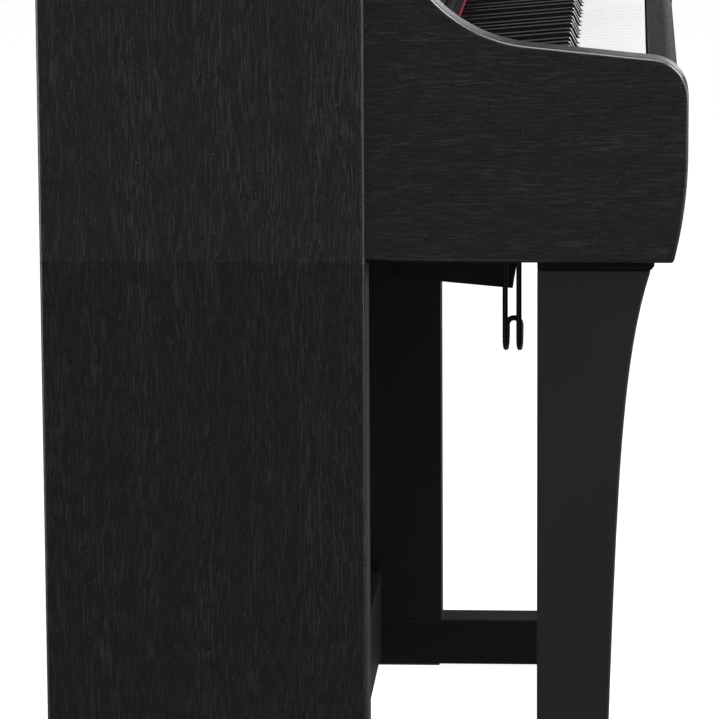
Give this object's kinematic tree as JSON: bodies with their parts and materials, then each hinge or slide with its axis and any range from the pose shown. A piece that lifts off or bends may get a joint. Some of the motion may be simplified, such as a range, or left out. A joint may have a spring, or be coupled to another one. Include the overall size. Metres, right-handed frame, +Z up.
{
  "type": "digital piano on stand",
  "caption": "Console digital piano on its own stand, with weighted keys, sliding key cover, folding music desk, pedals and a headphone hanger.",
  "frame": {"origin": "on the floor, at the middle of the overall width and depth", "axes": "+X towards the treble end (the player's right), -Y towards the player, +Z up"},
  "size_m": [1.36, 0.465, 1.0962],
  "materials": {
    "case_grain": "open-pore black wood grain, upright",
    "stand_grain": "open-pore black wood grain, upright",
    "arm_grain": "open-pore black wood grain, level",
    "long_grain": "open-pore black wood grain, end to end",
    "leg_paint": "smooth satin black",
    "rail_paint": "dull black",
    "panel_black": "satin black",
    "board_raw": "black-faced board",
    "back_hardboard": "black hardboard",
    "white_key": "satin ivory white",
    "black_key": "satin black",
    "crimson_felt": "crimson felt",
    "chassis_steel": "grey zinc-plated",
    "black_steel": "black powder coat",
    "hanger_wire": "black dipped wire",
    "pedal_brass": "polished",
    "bright_steel": "ground",
    "hinge_steel": "satin",
    "screw_steel": "blackened",
    "glide_felt": "pressed felt",
    "hammer_weight": "moulded",
    "black_plastic": "fine-textured moulding",
    "display_gloss": "clear over black",
    "board_green": "solder-masked laminate",
    "speaker_cone": "pressed basket and cone"
  },
  "bodies": {
    "body": {"side_board_left": "stand_grain", "side_board_right": "stand_grain", "foot_rail_left": "rail_paint", "foot_rail_right": "rail_paint", "front_leg_left": "leg_paint", "front_leg_right": "leg_paint", "leg_plates": "black_steel", "back_board": "board_raw", "pedal_beam": "panel_black", "pedal_chassis": "chassis_steel", "pedal_shaft": "bright_steel", "pedal_springs": "bright_steel", "glides": "glide_felt", "rear_screws": "screw_steel", "keybed": "board_raw", "upper_side_left": "case_grain", "upper_side_right": "case_grain", "arm_left": "arm_grain", "arm_right": "arm_grain", "rear_cover": "back_hardboard", "top_board": "long_grain", "fascia": "panel_black", "key_slip": "long_grain", "key_block_left": "panel_black", "key_block_right": "panel_black", "felt_strip": "crimson_felt", "key_frame": "black_steel", "hammers": "hammer_weight", "desk_hinges": "hinge_steel", "display_window": "display_gloss", "circuit_boards": "board_green", "woofers": "speaker_cone", "speaker_grilles": "black_steel", "jack_box": "black_plastic", "headphone_hanger": "hanger_wire", "rear_sockets": "black_plastic"},
    "soft_pedal": {"soft_pedal": "pedal_brass"},
    "sostenuto_pedal": {"sostenuto_pedal": "pedal_brass"},
    "damper_pedal": {"damper_pedal": "pedal_brass"},
    "beam_adjuster": {"beam_adjuster": "black_plastic"},
    "key_cover": {"key_cover": "panel_black"},
    "music_desk": {"music_desk": "panel_black"},
    "power_button": {"power_button": "black_plastic"},
    "volume_knob": {"volume_knob": "black_plastic"},
    "white_keys_bass": {"white_keys_bass": "white_key"},
    "white_keys_treble": {"white_keys_treble": "white_key"},
    "black_keys_bass": {"black_keys_bass": "black_key"},
    "black_keys_treble": {"black_keys_treble": "black_key"},
    "key_c4": {"key_c4": "white_key"},
    "key_c_sharp_4": {"key_c_sharp_4": "black_key"},
    "key_d4": {"key_d4": "white_key"},
    "key_d_sharp_4": {"key_d_sharp_4": "black_key"},
    "key_e4": {"key_e4": "white_key"},
    "key_f4": {"key_f4": "white_key"},
    "key_f_sharp_4": {"key_f_sharp_4": "black_key"},
    "key_g4": {"key_g4": "white_key"},
    "key_g_sharp_4": {"key_g_sharp_4": "black_key"},
    "key_a4": {"key_a4": "white_key"},
    "key_a_sharp_4": {"key_a_sharp_4": "black_key"},
    "key_b4": {"key_b4": "white_key"}
  },
  "joints": [
    {"name": "white_keys_bass_pivot", "type": "hinge", "parent": "body", "child": "white_keys_bass", "pos_m": [0, 0.022, 0.722], "axis": [1, 0, 0], "range_deg": [0, 2.5], "stiffness_Nm_per_rad": 27.6, "springref_deg": -11.46},
    {"name": "black_keys_bass_pivot", "type": "hinge", "parent": "body", "child": "black_keys_bass", "pos_m": [0, 0.022, 0.722], "axis": [1, 0, 0], "range_deg": [0, 2.9], "stiffness_Nm_per_rad": 19.2, "springref_deg": -11.46},
    {"name": "key_c4_pivot", "type": "hinge", "parent": "body", "child": "key_c4", "pos_m": [0, 0.022, 0.722], "axis": [1, 0, 0], "range_deg": [0, 2.5], "stiffness_Nm_per_rad": 1.2, "springref_deg": -11.46},
    {"name": "key_c_sharp_4_pivot", "type": "hinge", "parent": "body", "child": "key_c_sharp_4", "pos_m": [0, 0.022, 0.722], "axis": [1, 0, 0], "range_deg": [0, 2.9], "stiffness_Nm_per_rad": 1.2, "springref_deg": -11.46},
    {"name": "key_d4_pivot", "type": "hinge", "parent": "body", "child": "key_d4", "pos_m": [0, 0.022, 0.722], "axis": [1, 0, 0], "range_deg": [0, 2.5], "stiffness_Nm_per_rad": 1.2, "springref_deg": -11.46},
    {"name": "key_d_sharp_4_pivot", "type": "hinge", "parent": "body", "child": "key_d_sharp_4", "pos_m": [0, 0.022, 0.722], "axis": [1, 0, 0], "range_deg": [0, 2.9], "stiffness_Nm_per_rad": 1.2, "springref_deg": -11.46},
    {"name": "key_e4_pivot", "type": "hinge", "parent": "body", "child": "key_e4", "pos_m": [0, 0.022, 0.722], "axis": [1, 0, 0], "range_deg": [0, 2.5], "stiffness_Nm_per_rad": 1.2, "springref_deg": -11.46},
    {"name": "key_f4_pivot", "type": "hinge", "parent": "body", "child": "key_f4", "pos_m": [0, 0.022, 0.722], "axis": [1, 0, 0], "range_deg": [0, 2.5], "stiffness_Nm_per_rad": 1.2, "springref_deg": -11.46},
    {"name": "key_f_sharp_4_pivot", "type": "hinge", "parent": "body", "child": "key_f_sharp_4", "pos_m": [0, 0.022, 0.722], "axis": [1, 0, 0], "range_deg": [0, 2.9], "stiffness_Nm_per_rad": 1.2, "springref_deg": -11.46},
    {"name": "key_g4_pivot", "type": "hinge", "parent": "body", "child": "key_g4", "pos_m": [0, 0.022, 0.722], "axis": [1, 0, 0], "range_deg": [0, 2.5], "stiffness_Nm_per_rad": 1.2, "springref_deg": -11.46},
    {"name": "key_g_sharp_4_pivot", "type": "hinge", "parent": "body", "child": "key_g_sharp_4", "pos_m": [0, 0.022, 0.722], "axis": [1, 0, 0], "range_deg": [0, 2.9], "stiffness_Nm_per_rad": 1.2, "springref_deg": -11.46},
    {"name": "key_a4_pivot", "type": "hinge", "parent": "body", "child": "key_a4", "pos_m": [0, 0.022, 0.722], "axis": [1, 0, 0], "range_deg": [0, 2.5], "stiffness_Nm_per_rad": 1.2, "springref_deg": -11.46},
    {"name": "key_a_sharp_4_pivot", "type": "hinge", "parent": "body", "child": "key_a_sharp_4", "pos_m": [0, 0.022, 0.722], "axis": [1, 0, 0], "range_deg": [0, 2.9], "stiffness_Nm_per_rad": 1.2, "springref_deg": -11.46},
    {"name": "key_b4_pivot", "type": "hinge", "parent": "body", "child": "key_b4", "pos_m": [0, 0.022, 0.722], "axis": [1, 0, 0], "range_deg": [0, 2.5], "stiffness_Nm_per_rad": 1.2, "springref_deg": -11.46},
    {"name": "white_keys_treble_pivot", "type": "hinge", "parent": "body", "child": "white_keys_treble", "pos_m": [0, 0.022, 0.722], "axis": [1, 0, 0], "range_deg": [0, 2.5], "stiffness_Nm_per_rad": 26.4, "springref_deg": -11.46},
    {"name": "black_keys_treble_pivot", "type": "hinge", "parent": "body", "child": "black_keys_treble", "pos_m": [0, 0.022, 0.722], "axis": [1, 0, 0], "range_deg": [0, 2.9], "stiffness_Nm_per_rad": 18, "springref_deg": -11.46},
    {"name": "soft_pedal_pivot", "type": "hinge", "parent": "body", "child": "soft_pedal", "pos_m": [-0.08, 0.11, 0.058], "axis": [1, 0, 0], "range_deg": [0, 6], "stiffness_Nm_per_rad": 6, "springref_deg": -20.05, "deforming": ["pedal_springs"]},
    {"name": "sostenuto_pedal_pivot", "type": "hinge", "parent": "body", "child": "sostenuto_pedal", "pos_m": [0, 0.11, 0.058], "axis": [1, 0, 0], "range_deg": [0, 6], "stiffness_Nm_per_rad": 6, "springref_deg": -20.05, "deforming": ["pedal_springs"]},
    {"name": "damper_pedal_pivot", "type": "hinge", "parent": "body", "child": "damper_pedal", "pos_m": [0.08, 0.11, 0.058], "axis": [1, 0, 0], "range_deg": [0, 6], "stiffness_Nm_per_rad": 6, "springref_deg": -20.05, "deforming": ["pedal_springs"]},
    {"name": "key_cover_slide", "type": "slide", "parent": "body", "child": "key_cover", "axis": [0, -0.9944, -0.1056], "range_m": [0, 0.169]},
    {"name": "music_desk_hinge", "type": "hinge", "parent": "body", "child": "music_desk", "pos_m": [0, 0.044, 0.917], "axis": [1, 0, 0], "range_deg": [-70, 0]},
    {"name": "power_button_push", "type": "slide", "parent": "body", "child": "power_button", "axis": [0, 0, -1], "range_m": [0, 0.002], "stiffness_N_per_m": 1500, "springref_m": -0.002},
    {"name": "volume_knob_slide", "type": "slide", "parent": "body", "child": "volume_knob", "axis": [0, 1, 0], "range_m": [-0.02, 0.02]},
    {"name": "beam_adjuster_screw", "type": "slide", "parent": "body", "child": "beam_adjuster", "axis": [0, 0, 1], "range_m": [0, 0.005]}
  ]
}
